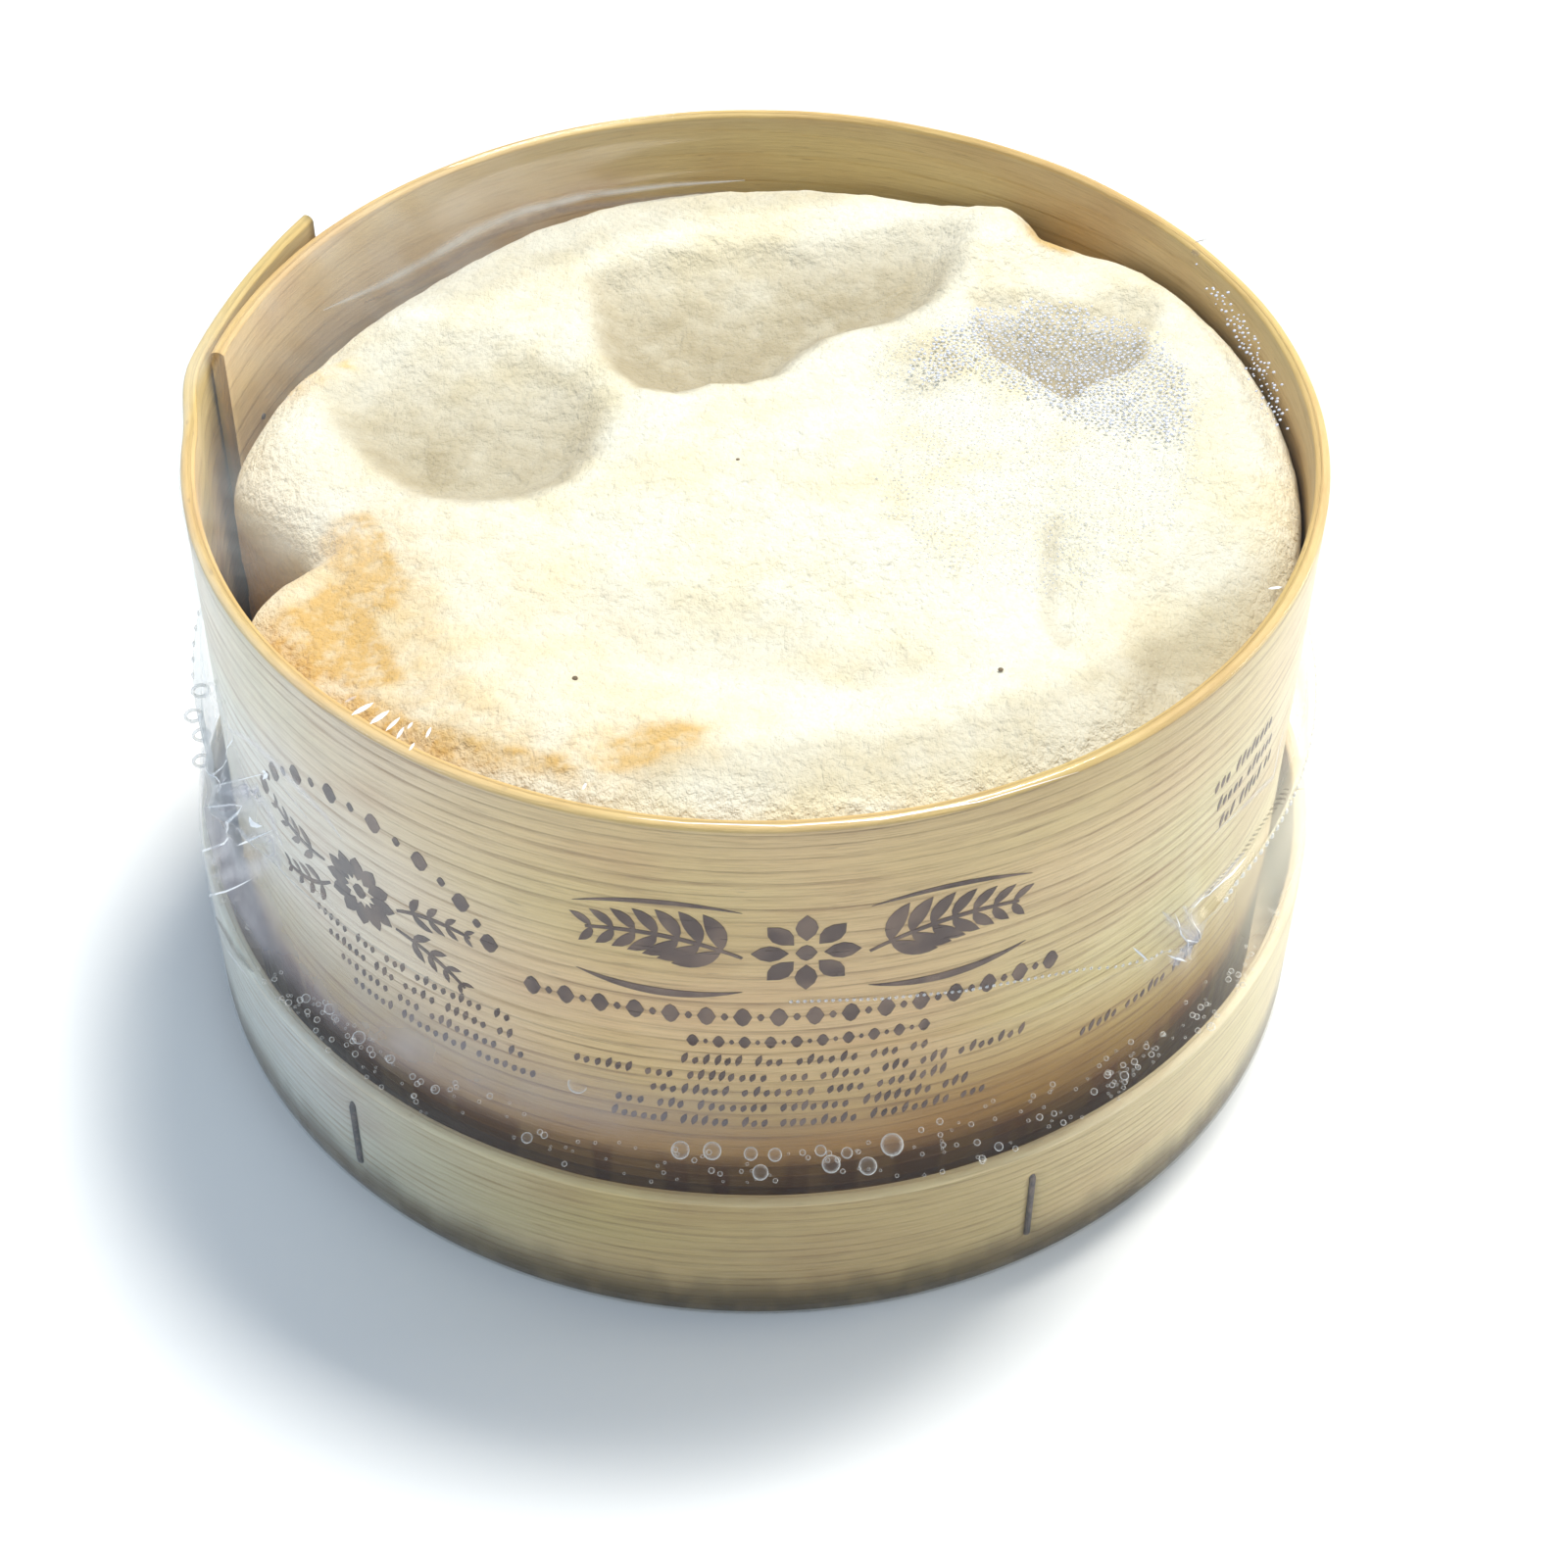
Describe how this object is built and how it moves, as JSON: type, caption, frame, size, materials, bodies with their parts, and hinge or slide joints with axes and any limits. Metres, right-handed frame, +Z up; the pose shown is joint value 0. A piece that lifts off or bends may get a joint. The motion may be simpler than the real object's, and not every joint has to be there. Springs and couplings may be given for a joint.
{
  "type": "film-wrapped soft cheese in a round wooden box",
  "caption": "Round soft-ripened cheese with a folded velvety rind in a thin spruce hoop box that stands in its upturned lid, shrink-wrapped in clear film.",
  "frame": {"origin": "centre of the film's underside, where the wrapped box rests", "axes": "+Z up through the cheese, -Y towards the printed front of the box, +X to its right"},
  "size_m": [0.1276, 0.1276, 0.0693],
  "materials": {
    "rind": "velvety cream rind with ochre stains",
    "box_veneer": "bare spruce veneer with growth-ring lines",
    "lid_veneer": "bare spruce veneer with fine grain",
    "clear_film": "clear glossy shrink film",
    "staple_wire": "dull dark wire"
  },
  "bodies": {
    "root": {"cheese": "rind", "box_hoop": "box_veneer", "box_floor": "box_veneer", "lid_hoop": "lid_veneer", "lid_board": "lid_veneer", "film": "clear_film", "lid_staple_1": "staple_wire", "lid_staple_2": "staple_wire", "lid_staple_3": "staple_wire", "lid_staple_4": "staple_wire", "box_staple_1": "staple_wire", "box_staple_2": "staple_wire"}
  },
  "joints": []
}
